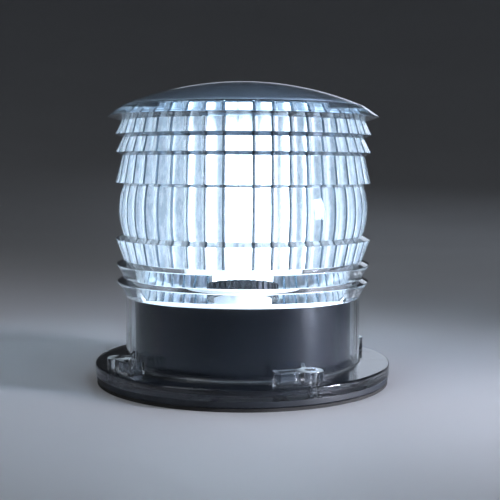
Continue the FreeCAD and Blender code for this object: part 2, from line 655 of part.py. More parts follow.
def battery_lead_places():
    """Where the two leads leave the first and last contact."""
    x = POCKET_HALF_LENGTH - CONTACT_THICKNESS - WIRE_RADIUS
    return [(-x, -AA_PITCH), (x, AA_PITCH)]


def make_battery_leads():
    """Two short leads from the holder up to the board."""
    bottom = AA_AXIS_HEIGHT + CONTACT_REACH
    return [rod(WIRE_RADIUS, bottom, BOARD_BOTTOM, x, y) for x, y in battery_lead_places()]


def make_control_board():
    """The round circuit board that charges the cells and drives the LEDs."""
    holes = [rod_at(1.3, BOARD_BOTTOM - 1, BOARD_TOP + 1, POST_CIRCLE, a) for a in POST_ANGLES]
    return rod(BOARD_RADIUS, BOARD_BOTTOM, BOARD_TOP).cut(holes)


def make_controller_chip():
    """The controller, a flat package with two rows of legs."""
    x, y = -16.0, -17.0
    body = block(10.0, 6.0, 1.9, x, y, BOARD_TOP + 0.1)
    legs = [block(0.5, 8.4, 0.9, x - 4.2 + 1.2 * i, y, BOARD_TOP) for i in range(8)]
    return body.fuse(legs)


def make_inductor():
    """The wound choke of the boost converter."""
    x, y = 17.0, -17.0
    drum = turned([(0, 0), (6.0, 0), (6.0, 1.2), (4.4, 1.8), (4.4, 4.6), (6.0, 5.2),
                   (6.0, 6.4, 0.4), (0, 6.4)])
    return place(drum, Vector(x, y, BOARD_TOP))


def make_capacitors():
    """Two electrolytic capacitors."""
    can = turned([(0, 0), (4.0, 0, 0.3), (4.0, 1.6), (3.7, 2.0), (4.0, 2.4), (4.0, 9.5, 0.5), (0, 9.5)])
    return [place(can, Vector(x, 22.0, BOARD_TOP)) for x in (-14.0, 14.0)]


def make_lead_connectors():
    """The plugs that the leads from above go into."""
    height = CONNECTOR_TOP - BOARD_TOP
    return [block(6.0, 5.0, height, x, 0, BOARD_TOP) for x in (-LED_LEAD_X, 0, LED_LEAD_X)]


def make_panel_leads():
    """Two leads from the panel straight down the conduit and the column."""
    return [rod(WIRE_RADIUS, CONNECTOR_TOP, PANEL_BOTTOM, x) for x in (-PANEL_LEAD_X, PANEL_LEAD_X)]


def make_led_leads():
    """Two leads up to the ring board."""
    return [rod(WIRE_RADIUS, CONNECTOR_TOP, HUB_TOP, x) for x in (-LED_LEAD_X, LED_LEAD_X)]


def make_switch_leads():
    """Two leads from the switch, bent inwards to the edge of the board."""
    outer_y, inner_y = BUTTON_Y, BUTTON_Y + 7.0
    low, high = SWITCH_TOP + 4.3, BOARD_BOTTOM - 4.3
    side = [(outer_y, SWITCH_TOP), (outer_y, low), (inner_y, high), (inner_y, BOARD_BOTTOM)]
    return [lead([(x, y, z) for y, z in side]) for x in (-1.5, 1.5)]


def make_light_switch():
    """The sealed switch over the button, on two legs that stand on the base plate."""
    body = block(SWITCH_SIZE, SWITCH_SIZE, SWITCH_TOP - SWITCH_BOTTOM, 0, BUTTON_Y, SWITCH_BOTTOM)
    legs = [block(1.6, SWITCH_SIZE, SWITCH_TOP - BASE_TOP, x, BUTTON_Y, BASE_TOP) for x in (-5.7, 5.7)]
    tie = block(13.0, SWITCH_SIZE, 1.2, 0, BUTTON_Y, SWITCH_TOP - 1.2)
    return body.fuse(legs + [tie]).cut(rod(STEM_RADIUS + RUNNING_GAP, 0, SWITCH_BOTTOM + 3.2, 0, BUTTON_Y))


def make_switch_button():
    """The button: a domed key, a shoulder that rests on its seal, and a stem into the switch."""
    shoulder = BASE_TOP + BUTTON_SEAL_THICKNESS
    stem_top = SWITCH_BOTTOM + 1.2
    button = turned([(0, BUTTON_BOTTOM), (BUTTON_RADIUS, BUTTON_BOTTOM, 0.6), (BUTTON_RADIUS, shoulder),
                     (BUTTON_SHOULDER_RADIUS, shoulder), (BUTTON_SHOULDER_RADIUS, shoulder + 1.0),
                     (STEM_RADIUS, shoulder + 1.0), (STEM_RADIUS, stem_top), (0, stem_top)])
    return place(button, Vector(0, BUTTON_Y, 0))


def make_button_seal():
    """The rubber washer that the button's shoulder rests on."""
    outer, inner = BUTTON_SHOULDER_RADIUS + 0.2, BUTTON_RADIUS + RUNNING_GAP
    washer = ring(outer, inner, BASE_TOP, BASE_TOP + BUTTON_SEAL_THICKNESS)
    return place(washer, Vector(0, BUTTON_Y, 0))


def make_battery_hatch():
    """The round hatch: a disc with a coin slot, a rim with a seal groove, ribs, and three tabs."""
    flange, body = HATCH_RECESS_RADIUS - 0.4, HATCH_OPENING_RADIUS - 0.4
    flange_top, floor = HATCH_RECESS_TOP - RUNNING_GAP, HATCH_FLOOR_TOP
    tab_bottom, top = HATCH_LEDGE_TOP + RUNNING_GAP, COLLAR_TOP - RUNNING_GAP
    hatch = turned([(0, BASE_BOTTOM), (flange, BASE_BOTTOM, 0.3), (flange, flange_top), (body, flange_top),
                    (body, top), (body - 2.6, top), (body - 2.6, floor), (0, floor)])
    tab_start, tab_outer = -HATCH_TAB_WIDTH / 2, RACE_RADIUS - RUNNING_GAP
    tab = sector(body - 0.5, tab_outer, tab_bottom, top, tab_start, HATCH_TAB_WIDTH)
    tabs = [around(tab, a) for a in HATCH_TAB_ANGLES]
    groove_middle = (flange_top + tab_bottom) / 2
    groove = ring(body + 1, seal_circle() - HATCH_RING_RADIUS, groove_middle - 0.75, groove_middle + 0.75)
    coin_slot = block(26.0, 2.2, 1.5, 0, 0, BASE_BOTTOM - 0.5)
    finger_dips = [rod_at(3.0, BASE_BOTTOM - 1, BASE_BOTTOM + 1, 27.0, a) for a in (90, 270)]
    ribs = [around(block(2 * body - 4, 1.6, top - floor + 0.5, 0, 0, floor - 0.5), a) for a in (0, 90)]
    return hatch.fuse(tabs + ribs).cut([groove, coin_slot] + finger_dips)


def seal_circle():
    """The radius of the circle down the middle of the hatch's rubber ring."""
    return HATCH_OPENING_RADIUS - 0.1 - HATCH_RING_RADIUS


def make_hatch_seal():
    """The rubber ring around the hatch."""
    height = (HATCH_RECESS_TOP + HATCH_LEDGE_TOP) / 2
    return o_ring(seal_circle(), HATCH_RING_RADIUS, height)


def make_base_screws():
    """The screws that draw the housing and the base plate together."""
    screw = pan_screw(3.0, 1.7, 1.5, 9.0)
    return [place(screw, polar(BASE_SCREW_CIRCLE, a, BASE_BOTTOM + 1.8), True) for a in LUG_ANGLES]


def make_hub_screws():
    """The screws that hold the light source on the housing, from below."""
    screw = pan_screw(2.2, 1.5, 1.1, 6.0)
    return [place(screw, polar(HUB_SCREW_CIRCLE, a, HOUSING_CEILING), True) for a in HUB_SCREW_ANGLES]


def make_board_screws():
    """The screws that hold the board under its posts."""
    screw = pan_screw(2.2, 1.5, 1.1, 7.0)
    return [place(screw, polar(POST_CIRCLE, a, BOARD_BOTTOM), True) for a in POST_ANGLES]


def make_holder_screws():
    """The screws through the ears of the battery holder."""
    screw = pan_screw(2.2, 1.5, 1.1, 4.5)
    return [place(screw, Vector(x, 0, COLLAR_TOP + 2)) for x in (-EAR_SCREW_X, EAR_SCREW_X)]


PARTS = {
    "mounting_gasket": make_mounting_gasket,
    "base_plate": make_base_plate,
    "base_seal": make_base_seal,
    "lens_body": make_lens_body,
    "dome_cover": make_dome_cover,
    "inner_housing": make_inner_housing,
    "reflector_plate": make_reflector_plate,
    "pedestal": make_pedestal,
    "led_column": make_led_column,
    "ring_board": make_ring_board,
    "led_boards": make_led_boards,
    "led_chips": make_led_chips,
    "diffuser_sleeve": make_diffuser_sleeve,
    "diffuser_cap": make_diffuser_cap,
    "conduit": make_conduit,
    "panel_tray": make_panel_tray,
    "solar_panel": make_solar_panel,
    "solar_cells": make_solar_cells,
    "cell_ribbons": make_cell_ribbons,
    "battery_holder": make_battery_holder,
    "battery_cells": make_battery_cells,
    "battery_springs": make_battery_springs,
    "battery_contacts": make_battery_contacts,
    "control_board": make_control_board,
    "controller_chip": make_controller_chip,
    "inductor": make_inductor,
    "capacitors": make_capacitors,
    "lead_connectors": make_lead_connectors,
    "panel_leads": make_panel_leads,
    "led_leads": make_led_leads,
    "battery_leads": make_battery_leads,
    "switch_leads": make_switch_leads,
    "light_switch": make_light_switch,
    "switch_button": make_switch_button,
    "button_seal": make_button_seal,
    "battery_hatch": make_battery_hatch,
    "hatch_seal": make_hatch_seal,
    "base_screws": make_base_screws,
    "hub_screws": make_hub_screws,
    "board_screws": make_board_screws,
    "holder_screws": make_holder_screws,
}

os.makedirs("parts", exist_ok=True)
for node, make in PARTS.items():
    save(node, make())
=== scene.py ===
import math

import bmesh
import bpy
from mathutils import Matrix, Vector


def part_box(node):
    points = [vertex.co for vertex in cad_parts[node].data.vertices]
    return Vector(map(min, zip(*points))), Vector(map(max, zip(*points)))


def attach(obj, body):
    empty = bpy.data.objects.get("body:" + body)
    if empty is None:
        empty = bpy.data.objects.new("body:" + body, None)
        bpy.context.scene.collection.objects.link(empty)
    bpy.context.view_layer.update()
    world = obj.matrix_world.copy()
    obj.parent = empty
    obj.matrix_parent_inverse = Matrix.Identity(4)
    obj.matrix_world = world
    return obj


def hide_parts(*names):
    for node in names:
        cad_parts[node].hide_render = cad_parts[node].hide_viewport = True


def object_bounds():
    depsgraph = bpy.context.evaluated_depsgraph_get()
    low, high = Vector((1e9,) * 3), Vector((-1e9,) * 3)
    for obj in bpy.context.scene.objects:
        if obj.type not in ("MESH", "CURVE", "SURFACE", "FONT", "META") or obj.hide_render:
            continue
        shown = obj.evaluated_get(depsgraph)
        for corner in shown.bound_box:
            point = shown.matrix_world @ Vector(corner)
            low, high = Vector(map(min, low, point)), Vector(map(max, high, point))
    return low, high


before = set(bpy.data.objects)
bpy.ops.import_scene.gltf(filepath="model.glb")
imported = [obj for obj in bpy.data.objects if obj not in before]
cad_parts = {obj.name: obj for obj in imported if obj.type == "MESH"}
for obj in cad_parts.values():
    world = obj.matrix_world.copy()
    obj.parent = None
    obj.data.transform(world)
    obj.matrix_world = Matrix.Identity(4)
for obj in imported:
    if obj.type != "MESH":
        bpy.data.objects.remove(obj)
cad_low, cad_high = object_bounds()

# The camera stands level with the upper part of the lens and looks slightly down at the front.
CAMERA_AZIMUTH = 17.5
CAMERA_DISTANCE = 0.5069
CAMERA_HEIGHT = 0.1086
CAMERA_PITCH = 4.79
CAMERA_ROLL = 0.28
CAMERA_FOCAL_PIXELS = 994.0
IMAGE_PIXELS = 500.0
SENSOR_MM = 36.0
AXIS_OFFSET_PIXELS = -7.0

# Areas of the lens, in metres: heights above the surface it stands on, and distances from its axis.
# Where an area fades, the pair is where the fade starts and ends.
FLANGE_FADE = (0.0115, 0.013)
FLUTES_BEGIN = (0.0612, 0.0618)
FLUTES_WITHIN = (0.0576, 0.0580)
NOTCH_RADII = (0.0571, 0.05795)
LEDGES_OUTSIDE = (0.0596, 0.0600)
FOOT_HEIGHTS, FOOT_RADII = (0.0105, 0.0109), (0.0598, 0.0612)
WEB_HEIGHTS, WEB_RADII = (0.0166, 0.0198), (0.0600, 0.0626)
LUG_TOP_HEIGHTS, LUGS_OUTSIDE = (0.0162, 0.0166), (0.0602, 0.0604)
BOSS_PLACE = 0.04738  # how far out the middle of each boss is, along X and along Y
BOSS_RIM_RADII = (0.0028, 0.0062)  # from the middle of the boss
# The bottom and top of each ledge between the prisms, and how dark the painted shade line on it is
LEDGES = ((0.0512, 0.0531, 0.5), (0.0599, 0.0618, 0.65), (0.0725, 0.0746, 0.9),
          (0.0992, 0.1005, 1.0), (0.1139, 0.1156, 1.0), (0.1226, 0.1244, 1.0))

# How brightly each area glows with painted light: emission that stands in for the light that the lens pipes to
# it
LUG_TOP_GLOW, BOSS_RIM_GLOW, WEB_GLOW, FOOT_GLOW = 0.35, 0.9, 0.3, 0.12

# Numbers of the glowing and the clear materials
LAMP_COLOUR = (0.70, 0.85, 0.98)
DIMMER_SHARE = 0.93
LIT_FADE = 0.0003
CLEAR_IOR = 1.57
CLEAR_SPECULAR_TINT = (0.20, 0.26, 0.36)
FLANGE_SPECULAR_TINT = (0.9, 0.93, 1.0)
CLEAR_HAZE_COLOUR = (0.90, 0.95, 0.98)
CLEAR_SHADOW_COLOUR = (0.88, 0.93, 0.97, 1)
FLUTE_STREAK_COLOUR = (0.22, 0.30, 0.36)
STREAK_STRETCH = (1.0, 1.0, 0.3)
# Painted shade on the notch and ledge lines: its colour, and how much of each notch turns dark and opaque
PAINTED_SHADE_LINE_COLOUR = (0.001, 0.002, 0.004)
NOTCH_PAINTED_SHADE_COLOUR = (0.04, 0.065, 0.09, 1)
NOTCH_SHADE = 0.85
FLANGE_ROUGHNESS, FLUTE_ROUGHNESS, SMOKED_ROUGHNESS = 0.09, 0.26, 0.14
FLUTE_HAZE = 0.075
SMOKED_FADE = 0.001


def from_camera(side, distance, height=0.0):
    """The point at that distance from the axis, side degrees to the right of the camera's own direction."""
    angle = math.radians(CAMERA_AZIMUTH - 90 + side)
    return Vector((distance * math.cos(angle), distance * math.sin(angle), height))


def place_in_scene(name, data):
    """A new object with that data, in the scene."""
    made = bpy.data.objects.new(name, data)
    bpy.context.scene.collection.objects.link(made)
    return made


def make_camera():
    """The camera at the photograph's angle."""
    data = bpy.data.cameras.new("camera")
    data.sensor_width = SENSOR_MM
    data.lens = CAMERA_FOCAL_PIXELS / IMAGE_PIXELS * SENSOR_MM
    camera = place_in_scene("camera", data)
    camera.location = from_camera(0, CAMERA_DISTANCE, CAMERA_HEIGHT)
    heading = math.radians(CAMERA_AZIMUTH) + math.atan(AXIS_OFFSET_PIXELS / CAMERA_FOCAL_PIXELS)
    forward = Vector((-math.sin(heading), math.cos(heading), -math.tan(math.radians(CAMERA_PITCH))))
    camera.rotation_euler = forward.to_track_quat("-Z", "Y").to_euler()
    camera.rotation_euler.rotate_axis("Z", math.radians(CAMERA_ROLL))
    bpy.context.scene.camera = camera


make_camera()


# Shader nodes

def add(tree, kind, **settings):
    """A shader node with the given settings and input values."""
    made = tree.nodes.new(kind)
    for name, value in settings.items():
        socket = name.replace("_", " ")
        if socket in made.inputs:
            made.inputs[socket].default_value = value
        else:
            setattr(made, name, value)
    return made


def feed(tree, value, socket):
    """Links an output to the socket, or sets the socket to a number or colour."""
    if isinstance(value, bpy.types.NodeSocket):
        tree.links.new(value, socket)
    elif isinstance(value, tuple) and socket.type == "RGBA":
        socket.default_value = (*value, 1.0)[:4]
    else:
        socket.default_value = value


def maths(tree, operation, a, b=0.0):
    """One step of arithmetic."""
    step = add(tree, "ShaderNodeMath", operation=operation)
    feed(tree, a, step.inputs[0])
    feed(tree, b, step.inputs[1])
    return step.outputs[0]


def times(tree, a, b):
    """The product of two values, or where two masks overlap."""
    return maths(tree, "MULTIPLY", a, b)


def plus(tree, value, mask, amount):
    """The value, with an amount added to it where the mask is 1."""
    return maths(tree, "ADD", value, times(tree, mask, amount))


def blend_colour(tree, factor, a, b):
    """Mixes two colours."""
    mix = add(tree, "ShaderNodeMix", data_type="RGBA")
    feed(tree, factor, mix.inputs["Factor"])
    feed(tree, a, mix.inputs[6])
    feed(tree, b, mix.inputs[7])
    return mix.outputs[2]


def mix_shaders(tree, factor, first, second):
    """The first shader where the factor is 0, and the second where it is 1."""
    mix = add(tree, "ShaderNodeMixShader")
    feed(tree, factor, mix.inputs[0])
    tree.links.new(first, mix.inputs[1])
    tree.links.new(second, mix.inputs[2])
    return mix.outputs[0]


def remap(tree, value, from_low, from_high, to_low, to_high):
    """Carries a value from one range to another."""
    made = add(tree, "ShaderNodeMapRange")
    feed(tree, value, made.inputs["Value"])
    ends = {"From Min": from_low, "From Max": from_high, "To Min": to_low, "To Max": to_high}
    for name, number in ends.items():
        feed(tree, number, made.inputs[name])
    return made.outputs["Result"]


def noise(tree, source, scale, detail=3.0, rough=0.55):
    """Smooth noise, from 0 to 1."""
    made = add(tree, "ShaderNodeTexNoise", Scale=scale, Detail=detail, Roughness=rough)
    tree.links.new(source, made.inputs["Vector"])
    return made.outputs["Fac"]


def bump(tree, height, strength, distance):
    """A bump from a height."""
    made = add(tree, "ShaderNodeBump", Strength=strength, Distance=distance)
    tree.links.new(height, made.inputs["Height"])
    return made.outputs["Normal"]


def start_material(name):
    """A material with only its Principled shader, and where each point is on the object."""
    material = bpy.data.materials.new(name)
    material.use_nodes = True
    tree = material.node_tree
    tree.nodes.clear()
    out = add(tree, "ShaderNodeOutputMaterial")
    shader = add(tree, "ShaderNodeBsdfPrincipled")
    tree.links.new(shader.outputs["BSDF"], out.inputs["Surface"])
    place = add(tree, "ShaderNodeTexCoord").outputs["Object"]
    return material, tree, shader, place


def axis_of(tree, place, letter):
    """One coordinate of the point, as "X", "Y" or "Z", or its size alone, as "|X|"."""
    split = add(tree, "ShaderNodeSeparateXYZ")
    tree.links.new(place, split.inputs[0])
    value = split.outputs[letter.strip("|")]
    return maths(tree, "ABSOLUTE", value) if "|" in letter else value


def hypotenuse(tree, a, b):
    """The distance from the origin of a point with these two coordinates."""
    squares = maths(tree, "ADD", times(tree, a, a), times(tree, b, b))
    return maths(tree, "SQRT", squares)


def below(tree, value, fade_start, fade_end):
    """1 below a fade and 0 above it."""
    return remap(tree, value, fade_start, fade_end, 1.0, 0.0)


def above(tree, value, fade_start, fade_end):
    """0 below a fade and 1 above it."""
    return remap(tree, value, fade_start, fade_end, 0.0, 1.0)


def within(tree, value, low, high, edge=0.0001):
    """1 between two values and 0 outside them."""
    return times(tree, above(tree, value, low - edge, low), below(tree, value, high, high + edge))


def stripes(tree, value, pitch, width):
    """1 on lines of that width and pitch along a coordinate, and 0 between them."""
    phase = maths(tree, "FRACT", maths(tree, "DIVIDE", maths(tree, "ADD", value, 1.0), pitch))
    return within(tree, phase, 0.0, width / pitch, 0.1 * width / pitch)


def mottle(tree, place, scale, detail=3.0):
    """Broad soft patches, from 0 to 1."""
    return above(tree, noise(tree, place, scale, detail), 0.35, 0.65)


# Kinds of material

def solid(name, low, high, rough=(0.4, 0.5), metallic=0.0, scale=60.0, grain=900.0, depth=0.00002,
          strength=0.4, zones=(), **sockets):
    """An opaque material: mottled colour between low and high, uneven gloss and a fine grain.
    Each zone is (coordinate, within or stripes, that area's two numbers, colour, metallic), and is painted over
    what comes before it."""
    material, tree, shader, place = start_material(name)
    colour = blend_colour(tree, mottle(tree, place, scale, detail=4.0), low, high)
    metal = metallic
    for letter, area, numbers, zone_colour, zone_metallic in zones:
        inside = area(tree, axis_of(tree, place, letter), *numbers)
        colour = blend_colour(tree, inside, colour, zone_colour)
        if zone_metallic != metal:
            metal = remap(tree, inside, 0.0, 1.0, metal, zone_metallic)
    feed(tree, colour, shader.inputs["Base Color"])
    feed(tree, metal, shader.inputs["Metallic"])
    feed(tree, remap(tree, noise(tree, place, scale * 1.7), 0.3, 0.7, *rough), shader.inputs["Roughness"])
    feed(tree, bump(tree, noise(tree, place, grain), strength, depth), shader.inputs["Normal"])
    for socket, value in sockets.items():
        shader.inputs[socket.replace("_", " ")].default_value = value
    return material


def lens_areas(tree, axes, radius):
    """Masks of the lens: its flange, its frosted flutes, the notch lines between the flutes and the ledge lines
    between the prisms, where shade is painted, and the places painted to glow where the lens pipes light, which
    are the foot of the skirt and the lugs."""
    height = axes.outputs["Z"]
    flange = below(tree, height, *FLANGE_FADE)
    fluted = above(tree, height, *FLUTES_BEGIN)
    frost = times(tree, below(tree, radius, *FLUTES_WITHIN), fluted)
    notch_shade_mask = times(tree, within(tree, radius, *NOTCH_RADII), fluted)

    ledge_shade_mask = 0.0
    for low, high, darkness in LEDGES:
        ledge_shade_mask = plus(tree, ledge_shade_mask, within(tree, height, low, high), darkness)
    ledge_shade_mask = times(tree, ledge_shade_mask, above(tree, radius, *LEDGES_OUTSIDE))

    from_boss = [maths(tree, "SUBTRACT", maths(tree, "ABSOLUTE", axes.outputs[letter]), BOSS_PLACE)
                 for letter in "XY"]
    rim = within(tree, hypotenuse(tree, *from_boss), *BOSS_RIM_RADII)
    lug_top = times(tree, within(tree, height, *LUG_TOP_HEIGHTS), above(tree, radius, *LUGS_OUTSIDE))
    web = times(tree, within(tree, height, *WEB_HEIGHTS), within(tree, radius, *WEB_RADII))
    foot = times(tree, within(tree, height, *FOOT_HEIGHTS), within(tree, radius, *FOOT_RADII))
    # Painted glow: lug tops, boss rims, webs and the skirt's foot emit lamp-coloured light in place of the
    # light the lens pipes down
    painted_glow = times(tree, lug_top, remap(tree, rim, 0.0, 1.0, LUG_TOP_GLOW, BOSS_RIM_GLOW))
    painted_glow = plus(tree, painted_glow, web, WEB_GLOW)
    painted_glow = plus(tree, painted_glow, foot, FOOT_GLOW)
    return flange, frost, notch_shade_mask, ledge_shade_mask, painted_glow


def clear(name, low, high, haze, lens=False, smoked_above=None):
    """Clear moulded plastic with a little haze. Lamp light passes it without a hard shadow.
    With lens, it has the lens's own areas, with painted shade lines and painted glow. Above the height
    smoked_above it is rougher."""
    material, tree, shader, place = start_material(name)
    axes = add(tree, "ShaderNodeSeparateXYZ")
    tree.links.new(place, axes.inputs[0])
    colour = blend_colour(tree, mottle(tree, place, scale=40.0, detail=2.0), low, high)
    rough = remap(tree, noise(tree, place, scale=60.0), 0.2, 0.8, 0.015, 0.03)
    tint = CLEAR_SPECULAR_TINT
    if lens:
        radius = hypotenuse(tree, axes.outputs["X"], axes.outputs["Y"])
        flange, frost, notch_shade_mask, ledge_shade_mask, painted_glow = lens_areas(tree, axes, radius)
        stretched = add(tree, "ShaderNodeVectorMath", operation="MULTIPLY")
        tree.links.new(place, stretched.inputs[0])
        stretched.inputs[1].default_value = STREAK_STRETCH
        streaks = noise(tree, stretched.outputs[0], scale=330.0, detail=5.0, rough=0.7)
        streaks = remap(tree, streaks, 0.43, 0.58, 0.0, 0.9)
        colour = blend_colour(tree, times(tree, frost, streaks), colour, FLUTE_STREAK_COLOUR)
        # Painted shade: near-black lines on the notch lines between the flutes and on the ledge lines between
        # the prisms
        colour = blend_colour(tree, maths(tree, "MAXIMUM", notch_shade_mask, ledge_shade_mask), colour, PAINTED_SHADE_LINE_COLOUR)
        tint = blend_colour(tree, flange, tint, FLANGE_SPECULAR_TINT)
        rough = plus(tree, rough, flange, FLANGE_ROUGHNESS)
        rough = plus(tree, rough, frost, FLUTE_ROUGHNESS)
        haze = plus(tree, haze, frost, FLUTE_HAZE)
        uneven = above(tree, noise(tree, place, scale=45.0), 0.40, 0.62)
        # Painted glow: the masked areas of the clear lens emit light, though they are no lamp
        feed(tree, times(tree, painted_glow, uneven), shader.inputs["Emission Strength"])
        feed(tree, LAMP_COLOUR, shader.inputs["Emission Color"])
    if smoked_above:
        smoked = above(tree, axes.outputs["Z"], smoked_above - SMOKED_FADE, smoked_above)
        rough = plus(tree, rough, smoked, SMOKED_ROUGHNESS)
    feed(tree, colour, shader.inputs["Base Color"])
    feed(tree, rough, shader.inputs["Roughness"])
    feed(tree, tint, shader.inputs["Specular Tint"])
    ripple = noise(tree, place, scale=90.0, detail=2.0)
    feed(tree, bump(tree, ripple, strength=0.1, distance=0.00005), shader.inputs["Normal"])
    shader.inputs["Transmission Weight"].default_value = 1.0
    shader.inputs["IOR"].default_value = CLEAR_IOR

    cloudy = add(tree, "ShaderNodeBsdfTranslucent")
    feed(tree, CLEAR_HAZE_COLOUR, cloudy.inputs["Color"])
    body = mix_shaders(tree, haze, shader.outputs["BSDF"], cloudy.outputs[0])
    if lens:
        # Painted shade: each notch turns mostly into a dark opaque surface
        dark = add(tree, "ShaderNodeBsdfDiffuse", Color=NOTCH_PAINTED_SHADE_COLOUR)
        body = mix_shaders(tree, times(tree, notch_shade_mask, NOTCH_SHADE), body, dark.outputs[0])
    through = add(tree, "ShaderNodeBsdfTransparent", Color=CLEAR_SHADOW_COLOUR)
    shadow_ray = add(tree, "ShaderNodeLightPath").outputs["Is Shadow Ray"]
    surface = mix_shaders(tree, shadow_ray, body, through.outputs[0])
    tree.links.new(surface, tree.nodes["Material Output"].inputs["Surface"])
    return material


def lit(name, low, high, strength, rough=(0.4, 0.55), top=None):
    """Plastic that glows with emission, or only up to the height top: the lamp itself for the LED window and
    the diffuser sleeve, and painted glow that stands in for lamp light on other white plastic.
    """
    material, tree, shader, place = start_material(name)
    mottled = mottle(tree, place, scale=50.0)
    feed(tree, blend_colour(tree, mottled, low, high), shader.inputs["Base Color"])
    feed(tree, remap(tree, noise(tree, place, scale=200.0), 0.3, 0.7, *rough), shader.inputs["Roughness"])
    grain = noise(tree, place, scale=900.0)
    feed(tree, bump(tree, grain, strength=0.3, distance=0.00003), shader.inputs["Normal"])
    dimmer = tuple(DIMMER_SHARE * c for c in LAMP_COLOUR)
    feed(tree, blend_colour(tree, mottled, dimmer, LAMP_COLOUR), shader.inputs["Emission Color"])
    if top:
        strength = remap(tree, axis_of(tree, place, "Z"), top - LIT_FADE, top, strength, 0.0)
    feed(tree, strength, shader.inputs["Emission Strength"])
    return material


# The materials of the CAD nodes. Zones and heights are in metres.

clear_lens = clear("clear_polycarbonate", (0.94, 0.97, 0.99), (0.97, 0.99, 1.0), 0.006, lens=True)
clear_dome = clear("dome_polycarbonate", (0.62, 0.74, 0.86), (0.68, 0.79, 0.90), 0.01, smoked_above=0.1385)
black = solid("black_gloss_plastic", (0.003, 0.004, 0.006), (0.005, 0.006, 0.009), (0.21, 0.23),
              depth=0.000003, Specular_IOR_Level=0.28)
base_black = solid("black_textured_plastic", (0.010, 0.014, 0.020), (0.021, 0.027, 0.036), (0.45, 0.6))
rubber = solid("black_rubber", (0.012, 0.012, 0.012), (0.03, 0.03, 0.029), (0.7, 0.85))
anodised = solid("black_anodised_aluminium", (0.012, 0.013, 0.016), (0.03, 0.031, 0.036), (0.35, 0.5), 0.7)
backing = solid("panel_backing", (0.008, 0.010, 0.018), (0.014, 0.017, 0.028), (0.25, 0.4))
silicon = solid("silicon_cell", (0.006, 0.011, 0.040), (0.016, 0.028, 0.090), (0.12, 0.25), 0.3, scale=300.0,
                zones=[("Y", stripes, (0.0022, 0.00016), (0.45, 0.48, 0.55), 0.8)])
plated = solid("plated_metal", (0.62, 0.63, 0.66), (0.78, 0.79, 0.82), (0.22, 0.38), 1.0)
board = solid("white_board", (0.78, 0.80, 0.82), (0.86, 0.87, 0.88), (0.4, 0.55))

WHITE = ((0.80, 0.84, 0.88), (0.88, 0.91, 0.94))
WHITE_GLOSS = (0.25, 0.35)
white = solid("white_gloss_plastic", *WHITE, WHITE_GLOSS)
led = lit("led_window", (0.85, 0.8, 0.5), (0.92, 0.88, 0.6), 8.0)
sleeve = lit("lit_diffuser", (0.80, 0.86, 0.92), (0.92, 0.95, 1.0), 37.0)
# Painted glow: the diffuser cap, the panel tray below its top, and the reflector plate emit light as if the
# lamp lit them
painted_glow_white = lit("white_painted_glow_plastic", *WHITE, 1.2, WHITE_GLOSS, top=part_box("panel_tray")[1].z - 0.001)
painted_glow_reflector = lit("reflector_painted_glow", *WHITE, 1.1, WHITE_GLOSS)

holder = solid("holder_plastic", (0.018, 0.018, 0.02), (0.035, 0.035, 0.038), (0.5, 0.65))
cell_wrap = solid("battery_wrap", (0.02, 0.20, 0.10), (0.03, 0.25, 0.12), (0.25, 0.35), scale=120.0,
                  zones=[("X", within, (-0.013, -0.006), (0.75, 0.76, 0.74), 0.0),
                         ("|X|", within, (0.0243, 0.03), (0.7, 0.7, 0.72), 1.0)])
green = solid("green_board", (0.006, 0.085, 0.035), (0.010, 0.125, 0.050), (0.3, 0.45), scale=900.0,
              zones=[("X", stripes, (0.0052, 0.0008), (0.012, 0.17, 0.07), 0.0)])
chip = solid("chip_epoxy", (0.012, 0.012, 0.013), (0.022, 0.022, 0.024), (0.5, 0.65), scale=200.0,
             zones=[("Y", within, (-0.0215, -0.0201), (0.7, 0.71, 0.73), 1.0),
                    ("Y", within, (-0.0139, -0.0125), (0.7, 0.71, 0.73), 1.0)])
part_epoxy = solid("small_part_epoxy", (0.03, 0.025, 0.02), (0.10, 0.075, 0.05), (0.4, 0.6), scale=300.0)
switch = solid("switch_plastic", (0.015, 0.015, 0.017), (0.03, 0.03, 0.034), (0.35, 0.5))
ferrite = solid("wound_ferrite", (0.03, 0.03, 0.032), (0.055, 0.053, 0.05), (0.55, 0.7), scale=200.0,
                zones=[("Z", within, (0.0316, 0.0340), (0.62, 0.25, 0.08), 0.9)])
can = solid("capacitor_can", (0.01, 0.012, 0.03), (0.018, 0.02, 0.045), (0.25, 0.4), scale=100.0,
            zones=[("Z", within, (0.0388, 0.05), (0.78, 0.79, 0.80), 1.0)])
nylon = solid("connector_nylon", (0.72, 0.70, 0.62), (0.82, 0.80, 0.73), (0.4, 0.55), scale=150.0)
wire = solid("wire_insulation", (0.012, 0.012, 0.013), (0.022, 0.022, 0.023), (0.4, 0.5), scale=200.0,
             zones=[("X", within, (0.0, 0.1), (0.50, 0.02, 0.015), 0.0)])
red = solid("button_plastic", (0.50, 0.035, 0.015), (0.60, 0.050, 0.020), (0.2, 0.35), scale=150.0)

